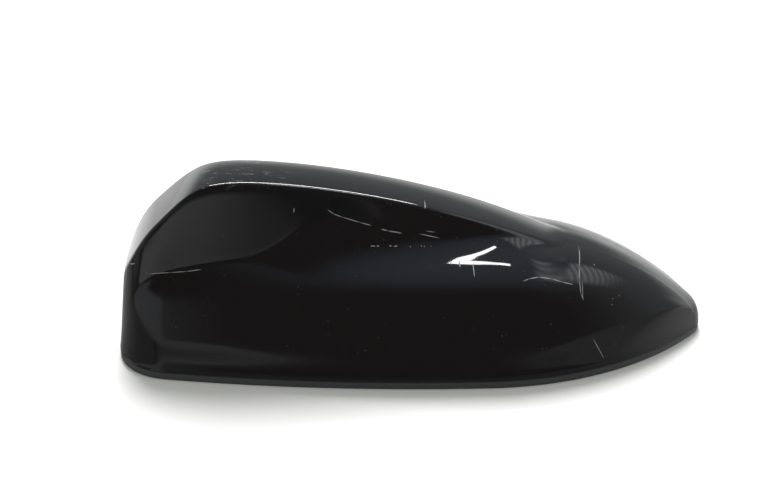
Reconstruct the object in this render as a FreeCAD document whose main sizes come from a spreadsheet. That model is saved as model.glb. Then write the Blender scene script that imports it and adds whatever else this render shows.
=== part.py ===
import FreeCAD, Part
import Sketcher
import math
import os
import re
from types import SimpleNamespace

# Roof antenna of the shark-fin kind: a moulded cover on a rubber seal, over a base plate with electronics.
# +X points at the nose, +Z up; the origin is under the middle of the part, on the roof.

# Driving sizes in millimetres and degrees
SIZES = {
    # Plan outline of the cover, all of it tangent arcs
    "length": 165.0,
    "half_width": 31.6,
    "widest_x": 19.4,
    "side_radius": 472.0,
    "nose_radius": 7.8,
    "corner_radius": 16.0,
    # Hull of the cover
    "seal_height": 2.2,
    "hull_height": 34.0,
    "crest_x": 15.2,
    "crest_rear_radius": 916.0,
    "nose_rise_radius": 10.5,
    "side_draft": 16.0,
    "side_fullness": 0.5,
    "top_fullness": 0.8,
    "tail_round": 9.0,
    "tail_draft": 4.5,
    "tail_draft_reach": 47.5,
    # Fin of the cover
    "fin_height": 53.25,
    "ridge_top_x": -71.5,
    "ridge_radius": 272.0,
    "slope_x": -59.25,
    "slope_angle": 45.0,
    "slope_blend": 6.0,
    "ridge_half_width": 7.7,
    "tip_x": 43.5,
    "tip_taper": 40.0,
    "tip_half_width": 2.0,
    "flank_draft": 6.5,
    "edge_blend": 1.8,
    "root_rear": 1.4,
    "root_front": 9.0,
    "root_start_x": -50.0,
    "cover_wall": 2.2,
    # Screw bosses of the cover
    "boss_side": 6.0,
    "boss_rear_x": -56.0,
    "boss_front_x": 42.0,
    "boss_y": 13.0,
    "cover_screw_radius": 1.2,
    "cover_screw_reach": 6.5,
    "cover_head_radius": 2.4,
    "cover_head_height": 1.4,
    # Seal under the cover
    "seal_opening_rear_x": -63.0,
    "seal_opening_front_x": 49.0,
    "seal_opening_half_width": 17.0,
    "seal_opening_radius": 6.0,
    # Base plate and the ring round it
    "plate_inset": 5.2,
    "plate_thickness": 2.5,
    "ring_inset": 3.3,
    "ring_width": 1.7,
    "ring_height": 2.0,
    "fixing_boss_side": 13.0,
    "fixing_rear_x": -40.0,
    "fixing_front_x": 30.0,
    "bush_radius": 4.5,
    "bush_hole_radius": 2.5,
    "bush_bottom": 0.4,
    "bush_length": 9.0,
    "standoff_side": 4.8,
    "standoff_rear_x": -46.0,
    "standoff_front_x": 30.5,
    "standoff_y": 11.8,
    # Main board and its screws
    "board_bottom": 10.5,
    "board_thickness": 1.6,
    "board_rear_x": -50.0,
    "board_front_x": 34.5,
    "board_half_width": 15.0,
    "board_screw_radius": 1.2,
    "board_screw_reach": 4.5,
    "board_head_radius": 2.2,
    "board_head_height": 1.4,
    # Patch antenna
    "patch_x": 20.5,
    "patch_side": 16.0,
    "patch_height": 4.0,
    "ground_side": 17.6,
    "ground_thickness": 0.6,
    "patch_pin_x": 22.5,
    "patch_pin_radius": 0.4,
    "patch_pin_head_radius": 0.9,
    "patch_pin_head_height": 0.25,
    # Upright boards in the fin
    "blade_thickness": 1.2,
    "blade_rear_x": -47.0,
    "blade_front_x": -9.0,
    "blade_top_drop": 8.75,
    "blade_top_fall": 7.0,
    "cap_half_width": 3.4,
    "cap_skirt": 3.5,
    "cap_sheet": 0.4,
    "phone_rear_x": -5.5,
    "phone_front_x": 8.5,
    "phone_top_drop": 4.0,
    "phone_notch_depth": 7.0,
    "phone_notch_width": 5.0,
    # Screened amplifier
    "screen_rear_x": -37.0,
    "screen_front_x": -12.0,
    "screen_inner_y": 3.0,
    "screen_outer_y": 13.0,
    "screen_height": 3.0,
    "screen_sheet": 0.4,
    "lid_lap": 1.2,
    "chip_side": 4.0,
    "chip_height": 1.0,
    "chip_spacing": 7.0,
    # Coaxial sockets that open downwards
    "socket_x": -5.0,
    "socket_spacing": 16.0,
    "socket_side": 10.5,
    "socket_bottom": 0.5,
    "socket_mouth_side": 7.8,
    "socket_mouth_depth": 7.0,
    "sleeve_radius": 2.2,
    "sleeve_wall": 0.45,
    "sleeve_length": 6.0,
    "insulator_length": 3.0,
    "contact_side": 0.9,
    "contact_length": 5.0,
    # Clearance of a piece that goes into another
    "fit_clearance": 0.05,
    "lid_clearance": 0.1,
    "plate_clearance": 0.3,
}

doc = FreeCAD.newDocument("roof_antenna")
sheet = doc.addObject("Spreadsheet::Sheet", "sizes")
for row, (name, value) in enumerate(SIZES.items(), start=1):
    sheet.set(f"A{row}", name)
    sheet.set(f"B{row}", str(value))
    sheet.setAlias(f"B{row}", name)
doc.recompute()
size = SimpleNamespace(**{name: float(sheet.get(name)) for name in SIZES})


def formula(words):
    """Expression text in which each size's name points at its cell in the sheet."""
    return re.sub(r"[a-z_]+", lambda m: f"sizes.{m[0]}" if m[0] in SIZES else m[0], words)


def bind(piece, **sizes):
    """Tie properties of a piece to formulas; x, y and z stand for its place."""
    for name, words in sizes.items():
        path = f"Placement.Base.{name}" if name in ("x", "y", "z") else name
        piece.setExpression(path, formula(words))
    return piece


def cylinder(name, radius, height, x="0", y="0", z="0"):
    return bind(doc.addObject("Part::Cylinder", name), Radius=radius, Height=height, x=x, y=y, z=z)


def hexagon(name, radius, height, x="0", y="0", z="0"):
    """Six-sided column about a place, from its corner radius."""
    return bind(doc.addObject("Part::Prism", name), Circumradius=radius, Height=height, x=x, y=y, z=z)


def block(name, low, high):
    """Box between two corners, each given as three formulas."""
    spans = [f"({b}) - ({a})" for a, b in zip(low, high)]
    piece = doc.addObject("Part::Box", name)
    return bind(piece, Length=spans[0], Width=spans[1], Height=spans[2], x=low[0], y=low[1], z=low[2])


def cut(name, base, tool):
    piece = doc.addObject("Part::Cut", name)
    piece.Base = base
    piece.Tool = tool
    return piece


def fuse(name, pieces):
    piece = doc.addObject("Part::MultiFuse", name)
    piece.Shapes = pieces
    return piece


def group(name, pieces):
    piece = doc.addObject("Part::Compound", name)
    piece.Links = pieces
    return piece


def feature(name, shape):
    piece = doc.addObject("Part::Feature", name)
    piece.Shape = shape
    piece.Placement = FreeCAD.Placement()
    return piece


def body_sketch(name, plane):
    """Body with an empty sketch on one of its own origin planes."""
    body = doc.addObject("PartDesign::Body", name)
    sketch = body.newObject("Sketcher::SketchObject", f"{name}_sketch")
    planes = [item for item in body.Origin.OriginFeatures if item.Role == plane]
    sketch.AttachmentSupport = [(planes[0], "")]
    sketch.MapMode = "FlatFace"
    return body, sketch


def closed_polygon(sketch, corners):
    """Closed run of lines whose corners are pinned to pairs of formulas."""
    count = len(corners)
    first = sketch.GeometryCount
    for i in range(count):
        angle = 2 * math.pi * i / count
        after = 2 * math.pi * (i + 1) / count
        ends = [FreeCAD.Vector(math.cos(a), math.sin(a), 0) for a in (angle, after)]
        sketch.addGeometry(Part.LineSegment(*ends), False)
    for i in range(count):
        sketch.addConstraint(Sketcher.Constraint("Coincident", first + i, 2, first + (i + 1) % count, 1))
    for i, (across, up) in enumerate(corners):
        for kind, words in (("DistanceX", across), ("DistanceY", up)):
            index = sketch.addConstraint(Sketcher.Constraint(kind, -1, 1, first + i, 1, 1.0))
            sketch.setExpression(f"Constraints[{index}]", formula(words))


def hole_circles(sketch, radius, centres):
    for across, up in centres:
        item = sketch.addGeometry(Part.Circle(FreeCAD.Vector(1, 1, 0), FreeCAD.Vector(0, 0, 1), 1.0), False)
        for kind, words in (("DistanceX", across), ("DistanceY", up)):
            index = sketch.addConstraint(Sketcher.Constraint(kind, -1, 1, item, 3, 1.0))
            sketch.setExpression(f"Constraints[{index}]", formula(words))
        index = sketch.addConstraint(Sketcher.Constraint("Radius", item, 1.0))
        sketch.setExpression(f"Constraints[{index}]", formula(radius))


def pad(body, sketch, thickness, middle=False):
    piece = body.newObject("PartDesign::Pad", f"{body.Name}_pad")
    piece.Profile = sketch
    piece.setExpression("Length", formula(thickness))
    piece.Midplane = middle
    return piece


# Outline arcs of the cover, seal, plate and ring
def plan_arcs(s):
    """Centres, radii and joins of the arcs on the +Y side, from nose to tail."""
    reach = s.length / 2 - s.nose_radius - s.widest_x
    front = (reach ** 2 + s.half_width ** 2 - s.nose_radius ** 2) / (2 * (s.half_width - s.nose_radius))
    side_y = s.half_width - s.side_radius
    corner_x = -s.length / 2 + s.corner_radius
    corner_y = side_y + math.sqrt((s.side_radius - s.corner_radius) ** 2 - (corner_x - s.widest_x) ** 2)
    nose = ((s.length / 2 - s.nose_radius, 0.0), s.nose_radius)
    bow = ((s.widest_x, s.half_width - front), front)
    side = ((s.widest_x, side_y), s.side_radius)
    corner = ((corner_x, corner_y), s.corner_radius)
    return nose, bow, side, corner


def toward(start, end):
    away = math.dist(start, end)
    return (end[0] - start[0]) / away, (end[1] - start[1]) / away


def on_arc(arc, direction, inset):
    (x, y), radius = arc
    return FreeCAD.Vector(x + direction[0] * (radius - inset), y + direction[1] * (radius - inset), 0)


def middle_of(first, second):
    angle = (math.atan2(first[1], first[0]) + math.atan2(second[1], second[0])) / 2
    return math.cos(angle), math.sin(angle)


def outline_face(inset):
    """Flat face inside the plan outline, set in by a distance."""
    nose, bow, side, corner = plan_arcs(size)
    joins = [(1.0, 0.0), toward(bow[0], nose[0]), (0.0, 1.0), toward(side[0], corner[0]), (-1.0, 0.0)]
    half = []
    for arc, begin, end in zip((nose, bow, side, corner), joins[:-1], joins[1:]):
        half.append([on_arc(arc, way, inset) for way in (begin, middle_of(begin, end), end)])
    half[0][0].y = 0.0
    mirror = [[FreeCAD.Vector(p.x, -p.y, 0) for p in points] for points in half]
    edges = [Part.Arc(*points).toShape() for points in half]
    edges.append(Part.LineSegment(half[-1][2], mirror[-1][2]).toShape())
    edges += [Part.Arc(*reversed(points)).toShape() for points in reversed(mirror)]
    return Part.Face(Part.Wire(edges))


def outline_plate(name, inset, bottom, height):
    """Plate of the plan outline, set in by a distance, between two heights."""
    piece = doc.addObject("Part::Extrusion", name)
    piece.Base = bind(feature(f"{name}_outline", outline_face(inset)), z=bottom)
    piece.DirMode = "Custom"
    piece.Dir = FreeCAD.Vector(0, 0, 1)
    piece.Solid = True
    return bind(piece, LengthFwd=height)


# Skin of the cover, from sections across X
FIN_SHARE = 0.5
ROOT_SHARE = 0.68
FOOT_SHARE = 0.85
ROOT_REACH = 3.5
RISE_SHARE = 0.5
EDGE_SHARE = 0.4
TIP_SOFTNESS = 0.6
WIDTH_SOFTNESS = 1.0
BISECTIONS = 36
CUBIC = 3
OUTER_STATIONS = 32
INNER_STATIONS = 28
NOSE_TRIM = 0.02
MIDDLE = 0.5
# Straight strips across half of the skin: hull, root, flank, edge and ridge
OUTER_STRIPS = (10, 3, 1, 2, 2)
INNER_STRIPS = (4, 1, 1, 0, 1)


def peak_to_nose(x, peak_x, peak, nose, end):
    """Arc that is level at the peak, then a nose arc that ends upright at the end."""
    reach = end - nose - peak_x
    front = (reach ** 2 + peak ** 2 - nose ** 2) / (2 * (peak - nose))
    join = peak_x + reach / math.hypot(reach, front - peak) * front
    if x >= join:
        return math.sqrt(max(nose ** 2 - (x - end + nose) ** 2, 0.0))
    return peak - front + math.sqrt(front ** 2 - (x - peak_x) ** 2)


def half_width_at(x, s):
    if x >= s.widest_x:
        return peak_to_nose(x, s.widest_x, s.half_width, s.nose_radius, s.length / 2)
    (side_x, side_y), side_radius = plan_arcs(s)[2]
    (corner_x, corner_y), corner_radius = plan_arcs(s)[3]
    join = corner_x + toward((side_x, side_y), (corner_x, corner_y))[0] * corner_radius
    if x >= join:
        return side_y + math.sqrt(side_radius ** 2 - (x - side_x) ** 2)
    return corner_y + math.sqrt(max(corner_radius ** 2 - (x - corner_x) ** 2, 0.0))


def tail_drop(x, s):
    """How far the rounding of the tail's top edge lowers the form."""
    short = max(s.tail_round - (x + s.length / 2), 0.0)
    return s.tail_round - math.sqrt(max(s.tail_round ** 2 - short ** 2, 0.0))


def crest_at(x, s):
    """Height of the hull's crest over the rim."""
    peak = s.hull_height - s.seal_height
    if x >= s.crest_x:
        return peak_to_nose(x, s.crest_x, peak, s.nose_rise_radius, s.length / 2)
    fall = s.crest_rear_radius - math.sqrt(s.crest_rear_radius ** 2 - (x - s.crest_x) ** 2)
    return peak - fall - tail_drop(x, s)


def soft_min(first, second, softness):
    return (first + second - math.hypot(first - second, softness)) / 2


def soft_max(first, second, softness):
    return (first + second + math.hypot(first - second, softness)) / 2


def fin_top_at(x, s):
    """Height of the fin's top edge over the rim: the long ridge arc, then the rear slope."""
    ridge = s.fin_height - s.ridge_radius + math.sqrt(s.ridge_radius ** 2 - (x - s.ridge_top_x) ** 2)
    slope = s.fin_height + (x - s.slope_x) * math.tan(math.radians(s.slope_angle))
    return soft_min(ridge, slope, s.slope_blend) - tail_drop(x, s) - s.seal_height


def ridge_half_width_at(x, s):
    """Half width of the fin's top, which narrows to the tip like a bullet."""
    share = min(max((s.tip_x - x) / s.tip_taper, 0.0), 1.0)
    return s.tip_half_width + (s.ridge_half_width - s.tip_half_width) * math.sqrt(1 - (1 - share) ** 2)


def mix(first, second, share):
    return tuple(a + (b - a) * share for a, b in zip(first, second))


def split_bezier(handles, share):
    """Handles of the first part of a Bezier curve, up to a share of it."""
    kept = []
    while handles:
        kept.append(handles[0])
        handles = [mix(a, b, share) for a, b in zip(handles[:-1], handles[1:])]
    return kept


def share_at(handles, y):
    """Share of a falling Bezier curve at which it reaches y."""
    low, high = 0.0, 1.0
    for _ in range(BISECTIONS):
        middle = (low + high) / 2
        if split_bezier(handles, middle)[-1][0] > y:
            low = middle
        else:
            high = middle
    return low


def section_zones(x, s):
    """Bezier handles (y, z over the rim) of the half section: hull, root, flank, edge and ridge."""
    width, crest = half_width_at(x, s), crest_at(x, s)
    low = s.side_fullness * crest
    lean = math.tan(math.radians(s.side_draft))
    dome = [(width, 0.0), (width - low * lean, low), (s.top_fullness * width, crest), (0.0, crest)]
    top_limit = FIN_SHARE * width
    top_y = soft_min(ridge_half_width_at(x, s), top_limit, min(WIDTH_SOFTNESS, top_limit))
    under = split_bezier(dome, share_at(dome, top_y))[-1][1]
    fin = soft_max(fin_top_at(x, s) - under, 0.0, min(TIP_SOFTNESS, crest))
    spread = soft_max(fin * math.tan(math.radians(s.flank_draft)), s.tip_half_width, WIDTH_SOFTNESS)
    root_y = min(top_y + spread, ROOT_SHARE * width)
    along = min(max((x - s.root_start_x) / (s.tip_x - s.root_start_x), 0.0), 1.0)
    root = min(s.root_rear + (s.root_front - s.root_rear) * along, ROOT_REACH * fin)
    foot_y = min(root_y + root, root_y + (width - root_y) * FOOT_SHARE)
    hull = split_bezier(dome, share_at(dome, foot_y))
    before, foot = hull[-2:]
    corner = mix(before, foot, (root_y - before[0]) / (foot[0] - before[0]))
    top = (top_y, under + fin)
    apex = (0.0, top[1] + 2 * (crest - under))
    flank = math.dist(corner, top)
    edge = min(s.edge_blend, EDGE_SHARE * top_y)
    flank_low = mix(corner, top, min(root / flank, RISE_SHARE))
    flank_high = mix(top, corner, min(edge / flank, EDGE_SHARE))
    ridge = mix(top, apex, edge / top_y)
    across = split_bezier([ridge, apex, (-ridge[0], ridge[1])], MIDDLE)
    return hull, [foot, corner, flank_low], [flank_low, flank_high], [flank_high, top, ridge], across


def half_section(x, s, strips):
    """Points of the half section from the rim to the middle of the ridge."""
    zones = section_zones(x, s)
    points = [split_bezier(zone, i / count)[-1] for zone, count in zip(zones, strips) for i in range(count)]
    return points + [zones[-1][-1]]


def lean_forward(x, rise, s):
    """Place along X once the tail's wall leans forward as it rises."""
    share = max(1 - (x + s.length / 2) / s.tail_draft_reach, 0.0)
    return x + rise * math.tan(math.radians(s.tail_draft)) * share ** 2


def station_row(x, s, strips):
    """Poles across the whole skin at one station, from the near rim over the top to the far rim."""
    def pole(y, z):
        return FreeCAD.Vector(lean_forward(x, z, s), y, z + s.seal_height)
    half = half_section(x, s, strips)
    return [pole(-y, z) for y, z in half] + [pole(y, z) for y, z in reversed(half[:-1])]


def strip_surface(first, second):
    """Strip that is smooth along X and straight across, between two runs of poles."""
    spans = len(first) - CUBIC
    knots, mults = list(range(spans + 1)), [CUBIC + 1] + [1] * (spans - 1) + [CUBIC + 1]
    surface = Part.BSplineSurface()
    surface.buildFromPolesMultsKnots(list(zip(first, second)), mults, [2, 2], knots, [0, 1], False, False,
                                     CUBIC, 1)
    return surface


def skin_solid(s, stations, strips):
    """Closed solid under the skin, down to the rim."""
    half = s.length / 2
    places = [min(-half * math.cos(math.pi * i / stations), half - NOSE_TRIM) for i in range(stations + 1)]
    rows = [station_row(x, s, strips) for x in places]
    runs = list(zip(*rows))
    surfaces = [strip_surface(first, second) for first, second in zip(runs[:-1], runs[1:])]
    faces = [surface.toShape() for surface in surfaces]
    rims = [surfaces[0].vIso(0).toShape(), surfaces[-1].vIso(1).toShape()]
    faces += [Part.Face(Part.makePolygon(row + row[:1])) for row in (rows[0], rows[-1])]
    sills = [Part.LineSegment(row[0], row[-1]).toShape() for row in (rows[0], rows[-1])]
    faces.append(Part.Face(Part.Wire(Part.sortEdges(rims + sills)[0])))
    shell = Part.Shell(faces)
    shell.sewShape()
    solid = Part.Solid(Part.Shell(shell.Faces))
    if solid.Volume < 0:
        solid.reverse()
    return solid


def inner_form(s):
    """Sizes of the hollow: the outer form set in by the wall."""
    wall = s.cover_wall
    angle = math.radians(s.slope_angle)
    inner = SimpleNamespace(**vars(s))
    inner.length = s.length - 2 * wall
    for name in ("half_width", "side_radius", "nose_radius", "corner_radius", "hull_height",
                 "nose_rise_radius", "tail_round", "fin_height", "ridge_half_width"):
        setattr(inner, name, getattr(s, name) - wall)
    inner.slope_x = s.slope_x + wall * (1 / math.cos(angle) - 1) / math.tan(angle)
    inner.tip_x = s.tip_x - 2 * wall
    return inner


BOSS_PLACES = [(x, y) for x in ("boss_rear_x", "boss_front_x") for y in ("-boss_y", "boss_y")]
STANDOFF_PLACES = [(x, y) for x in ("standoff_rear_x", "standoff_front_x")
                   for y in ("-standoff_y", "standoff_y")]
BOARD_SCREW_PLACES = [STANDOFF_PLACES[0], STANDOFF_PLACES[-1]]
FIXING_PLACES = ["fixing_rear_x", "fixing_front_x"]
SOCKET_NAMES = ["radio_socket", "gnss_socket", "phone_socket"]
SOCKET_PLACES = [f"socket_x + ({i}) * socket_spacing" for i in (-1, 0, 1)]


def square_column(name, x, side, bottom, top, y="0"):
    """Square column about a place."""
    low = [f"{x} - ({side}) / 2", f"{y} - ({side}) / 2", bottom]
    high = [f"{x} + ({side}) / 2", f"{y} + ({side}) / 2", top]
    return block(name, low, high)


def make_cover():
    plate_top = "seal_height + plate_thickness"
    outer = feature("outer_form", skin_solid(size, OUTER_STATIONS, OUTER_STRIPS))
    hollow = feature("hollow_form", skin_solid(inner_form(size), INNER_STATIONS, INNER_STRIPS))
    bosses, pilots = [], []
    for i, (x, y) in enumerate(BOSS_PLACES):
        bosses.append(square_column(f"boss_{i}", x, "boss_side", plate_top, "fin_height", y))
        pilots.append(cylinder(f"pilot_{i}", "cover_screw_radius + fit_clearance",
                               "cover_screw_reach + plate_clearance", x, y, plate_top))
    shell = cut("cover_shell", outer, cut("cover_hollow", hollow, group("bosses", bosses)))
    return cut("cover", shell, group("pilots", pilots))


def make_seal():
    rear, front = "seal_opening_rear_x", "seal_opening_front_x"
    half, radius = "seal_opening_half_width", "seal_opening_radius"
    parts = [block("opening_long", [rear, f"-({half} - {radius})", "0"],
                   [front, f"{half} - {radius}", "seal_height"]),
             block("opening_wide", [f"{rear} + {radius}", f"-{half}", "0"],
                   [f"{front} - {radius}", half, "seal_height"])]
    places = [(x, y) for x in (f"{rear} + {radius}", f"{front} - {radius}")
              for y in (f"-({half} - {radius})", f"{half} - {radius}")]
    for i, (x, y) in enumerate(places):
        parts.append(cylinder(f"opening_corner_{i}", radius, "seal_height", x, y))
    pad_plate = outline_plate("seal_pad", 0.0, "0", "seal_height")
    return cut("seal", pad_plate, fuse("seal_opening", parts))


def make_base_plate():
    solids = [outline_plate("carrier_plate", size.plate_inset, "seal_height", "plate_thickness")]
    holes = []
    for i, x in enumerate(FIXING_PLACES):
        solids.append(square_column(f"fixing_boss_{i}", x, "fixing_boss_side", "bush_bottom",
                                    "bush_bottom + bush_length"))
        holes.append(hexagon(f"bush_seat_{i}", "bush_radius + fit_clearance", "board_bottom", x))
    for i, (x, y) in enumerate(STANDOFF_PLACES):
        solids.append(square_column(f"standoff_{i}", x, "standoff_side", "seal_height", "board_bottom", y))
    for i, (x, y) in enumerate(BOSS_PLACES):
        holes.append(cylinder(f"screw_hole_{i}", "cover_screw_radius + fit_clearance", "board_bottom", x, y))
    for i, (x, y) in enumerate(BOARD_SCREW_PLACES):
        holes.append(cylinder(f"board_pilot_{i}", "board_screw_radius + fit_clearance",
                              "board_screw_reach + plate_clearance", x, y,
                              "board_bottom - board_screw_reach - plate_clearance"))
    for name, x in zip(SOCKET_NAMES, SOCKET_PLACES):
        holes.append(square_column(f"{name}_seat", x, "socket_side + 2 * fit_clearance", "0", "board_bottom"))
    return cut("base_plate", fuse("carrier_blank", solids), group("carrier_holes", holes))


def make_rim_seal():
    outer = outline_plate("ring_outer", size.ring_inset, "seal_height", "ring_height")
    inner = outline_plate("ring_inner", size.ring_inset + size.ring_width, "seal_height", "ring_height")
    return cut("rim_seal", outer, inner)


def make_fixing_bushes():
    bushes = []
    for i, x in enumerate(FIXING_PLACES):
        outer = hexagon(f"bush_outer_{i}", "bush_radius", "bush_length", x, z="bush_bottom")
        hole = cylinder(f"bush_hole_{i}", "bush_hole_radius", "bush_length", x, z="bush_bottom")
        bushes.append(cut(f"bush_{i}", outer, hole))
    return group("fixing_bushes", bushes)


def make_cover_screws():
    screws = []
    for i, (x, y) in enumerate(BOSS_PLACES):
        head = hexagon(f"cover_head_{i}", "cover_head_radius", "cover_head_height", x, y,
                        "seal_height - cover_head_height")
        shank = cylinder(f"cover_shank_{i}", "cover_screw_radius", "plate_thickness + cover_screw_reach",
                         x, y, "seal_height")
        screws.append(fuse(f"cover_screw_{i}", [head, shank]))
    return group("cover_screws", screws)


def make_main_board():
    body, sketch = body_sketch("main_board", "XY_Plane")
    closed_polygon(sketch, [("board_rear_x", "-board_half_width"), ("board_front_x", "-board_half_width"),
                            ("board_front_x", "board_half_width"), ("board_rear_x", "board_half_width")])
    hole_circles(sketch, "board_screw_radius + fit_clearance", BOARD_SCREW_PLACES)
    pad(body, sketch, "board_thickness")
    return bind(body, z="board_bottom")


BOARD_TOP = "board_bottom + board_thickness"
BLADE_TOP = "fin_height - blade_top_drop"


def make_board_screws():
    screws = []
    for i, (x, y) in enumerate(BOARD_SCREW_PLACES):
        head = hexagon(f"board_head_{i}", "board_head_radius", "board_head_height", x, y, BOARD_TOP)
        shank = cylinder(f"board_shank_{i}", "board_screw_radius", "board_thickness + board_screw_reach",
                         x, y, "board_bottom - board_screw_reach")
        screws.append(fuse(f"board_screw_{i}", [head, shank]))
    return group("board_screws", screws)


def square_plate(name, side, bottom, thickness):
    """Square plate over the patch's place, with the feed pin's hole."""
    low = [f"patch_x - {side} / 2", f"-{side} / 2", bottom]
    high = [f"patch_x + {side} / 2", f"{side} / 2", f"{bottom} + {thickness}"]
    hole = cylinder(f"{name}_hole", "patch_pin_radius + fit_clearance", thickness, "patch_pin_x", z=bottom)
    return cut(name, block(f"{name}_block", low, high), hole)


def make_patch():
    patch_bottom = f"{BOARD_TOP} + ground_thickness"
    patch_top = f"{patch_bottom} + patch_height"
    ground = square_plate("patch_ground", "ground_side", BOARD_TOP, "ground_thickness")
    patch = square_plate("gnss_patch", "patch_side", patch_bottom, "patch_height")
    head = cylinder("patch_pin_head", "patch_pin_head_radius", "patch_pin_head_height", "patch_pin_x",
                    z=patch_top)
    shank = cylinder("patch_pin_shank", "patch_pin_radius", "ground_thickness + patch_height", "patch_pin_x",
                     z=BOARD_TOP)
    return [ground, patch, fuse("patch_pin", [head, shank])]


def blade(name, corners):
    """Upright board of an outline in the XZ plane, centred on Y, that stands on the main board."""
    body, sketch = body_sketch(name, "XZ_Plane")
    closed_polygon(sketch, corners)
    pad(body, sketch, "blade_thickness", middle=True)
    return bind(body, z=BOARD_TOP)


def make_radio_blade():
    top = f"{BLADE_TOP} - ({BOARD_TOP})"
    fall = "(blade_front_x - blade_rear_x) * tan(blade_top_fall * 1 deg)"
    return blade("radio_blade", [("blade_rear_x", "0"), ("blade_front_x", "0"),
                                 ("blade_front_x", f"{top} - {fall}"), ("blade_rear_x", top)])


def make_roof_capacitor():
    body, sketch = body_sketch("roof_capacitor", "YZ_Plane")
    inner = "(cap_half_width - cap_sheet)"
    closed_polygon(sketch, [("-cap_half_width", "-cap_skirt"), (f"-{inner}", "-cap_skirt"),
                            (f"-{inner}", "0"), (inner, "0"), (inner, "-cap_skirt"),
                            ("cap_half_width", "-cap_skirt"), ("cap_half_width", "cap_sheet"),
                            ("-cap_half_width", "cap_sheet")])
    pad(body, sketch, "(blade_front_x - blade_rear_x) / cos(blade_top_fall * 1 deg)")
    body.Placement.Rotation = FreeCAD.Rotation(FreeCAD.Vector(0, 1, 0), size.blade_top_fall)
    body.setExpression("Placement.Rotation.Angle", formula("blade_top_fall"))
    return bind(body, x="blade_rear_x", z=BLADE_TOP)


def make_phone_blade():
    top = f"hull_height - phone_top_drop - ({BOARD_TOP})"
    notch_low = f"{top} - phone_notch_depth"
    middle = "(phone_rear_x + phone_front_x) / 2"
    left, right = f"{middle} - phone_notch_width / 2", f"{middle} + phone_notch_width / 2"
    return blade("phone_blade", [("phone_rear_x", "0"), ("phone_front_x", "0"), ("phone_front_x", top),
                                 (right, top), (right, notch_low), (left, notch_low), (left, top),
                                 ("phone_rear_x", top)])


def make_screen():
    screen_top = f"{BOARD_TOP} + screen_height"
    low = ["screen_rear_x", "screen_inner_y", BOARD_TOP]
    high = ["screen_front_x", "screen_outer_y", screen_top]
    inner_low = [f"{words} + screen_sheet" for words in low[:2]] + [BOARD_TOP]
    inner_high = [f"{words} - screen_sheet" for words in high[:2]] + [screen_top]
    fence = cut("shield_fence", block("fence_block", low, high), block("fence_hollow", inner_low, inner_high))
    lid_low = [f"{words} - lid_clearance - screen_sheet" for words in low[:2]]
    lid_low.append(f"{screen_top} - lid_lap")
    lid_high = [f"{words} + lid_clearance + screen_sheet" for words in high[:2]]
    lid_high.append(f"{screen_top} + screen_sheet")
    hollow_low = [f"{words} - lid_clearance" for words in low[:2]] + [f"{screen_top} - lid_lap"]
    hollow_high = [f"{words} + lid_clearance" for words in high[:2]] + [screen_top]
    lid_hollow = block("lid_hollow", hollow_low, hollow_high)
    lid = cut("shield_lid", block("lid_block", lid_low, lid_high), lid_hollow)
    chips = []
    for i in (-1, 0, 1):
        x = f"(screen_rear_x + screen_front_x) / 2 + ({i}) * chip_spacing"
        y = "(screen_inner_y + screen_outer_y) / 2"
        chip_low = [f"{x} - chip_side / 2", f"{y} - chip_side / 2", BOARD_TOP]
        chip_high = [f"{x} + chip_side / 2", f"{y} + chip_side / 2", f"{BOARD_TOP} + chip_height"]
        chips.append(block(f"chip_{i + 1}", chip_low, chip_high))
    return [fence, lid, group("amplifier_chips", chips)]


def make_sockets():
    """Three coaxial sockets side by side: housing, metal sleeve, insulator and centre pin."""
    ceiling = "socket_bottom + socket_mouth_depth"
    housings, sleeves, insulators, pins = [], [], [], []
    for name, x in zip(SOCKET_NAMES, SOCKET_PLACES):
        outside = square_column(f"{name}_block", x, "socket_side", "socket_bottom", "board_bottom")
        mouth = square_column(f"{name}_mouth", x, "socket_mouth_side", "socket_bottom", ceiling)
        housings.append(cut(name, outside, mouth))
        sleeve = cylinder(f"{name}_sleeve", "sleeve_radius", "sleeve_length", x,
                          z=f"{ceiling} - sleeve_length")
        bore = cylinder(f"{name}_bore", "sleeve_radius - sleeve_wall", "sleeve_length", x,
                        z=f"{ceiling} - sleeve_length")
        sleeves.append(cut(f"{name}_tube", sleeve, bore))
        plug_bottom = f"{ceiling} - insulator_length"
        plug = cylinder(f"{name}_plug", "sleeve_radius - sleeve_wall - fit_clearance", "insulator_length", x,
                        z=plug_bottom)
        passage = square_column(f"{name}_passage", x, "contact_side + 2 * fit_clearance", plug_bottom,
                                ceiling)
        insulators.append(cut(f"{name}_insulator", plug, passage))
        pins.append(square_column(f"{name}_pin", x, "contact_side", f"{ceiling} - contact_length", ceiling))
    return housings + [group("socket_shields", sleeves), group("socket_insulators", insulators),
                       group("socket_pins", pins)]


pieces = [make_cover(), make_seal(), make_base_plate(), make_rim_seal(), make_fixing_bushes()]
pieces += [make_cover_screws(), make_main_board(), make_board_screws()]
pieces += make_patch()
pieces += [make_radio_blade(), make_roof_capacitor(), make_phone_blade()]
pieces += make_screen()
pieces += make_sockets()
doc.recompute()

for item in doc.Objects:
    if "Invalid" in item.State or "Error" in item.State:
        raise RuntimeError(f"{item.Label} failed: {item.State}")
for piece in pieces:
    piece.Label = piece.Name
    if piece.Shape.isNull() or not piece.Shape.isValid():
        raise RuntimeError(f"{piece.Label} has no valid shape")

os.makedirs("parts", exist_ok=True)
for piece in pieces:
    piece.Shape.exportStep(f"parts/{piece.Label}.step")
    box = piece.Shape.BoundBox
    print(piece.Label, len(piece.Shape.Solids), round(piece.Shape.Volume, 1), round(box.XLength, 2),
          round(box.YLength, 2), round(box.ZMin, 2), round(box.ZMax, 2))
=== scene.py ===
import math
from types import SimpleNamespace

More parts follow.
